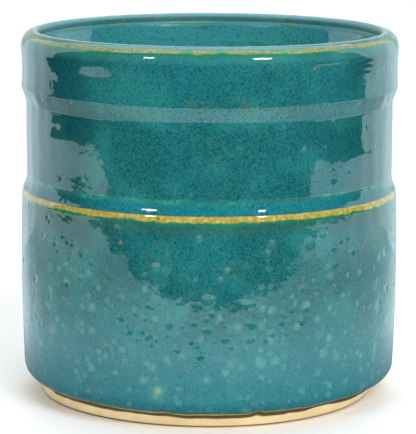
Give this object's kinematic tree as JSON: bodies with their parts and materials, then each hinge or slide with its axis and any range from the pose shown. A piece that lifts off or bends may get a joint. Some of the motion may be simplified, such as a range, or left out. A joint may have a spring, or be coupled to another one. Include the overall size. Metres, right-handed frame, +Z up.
{
  "type": "brush holder pot",
  "caption": "Wheel-thrown stoneware brush pot: straight collar, pulled-in neck, ridged shoulder, full belly, glazed inside and out over a bare bevelled foot.",
  "frame": {"origin": "centre of the foot, on the surface that the pot stands on", "axes": "+Z up along the axis that the pot was turned about, from the foot to the open mouth; the pot is round, so X and Y are any two level directions"},
  "size_m": [0.111, 0.111, 0.1069],
  "materials": {
    "bare_stoneware": "matte",
    "turquoise_glaze": "gloss",
    "liner_glaze": "gloss"
  },
  "bodies": {
    "root": {"clay_body": "bare_stoneware", "outer_glaze": "turquoise_glaze", "inner_glaze": "liner_glaze"}
  },
  "joints": []
}
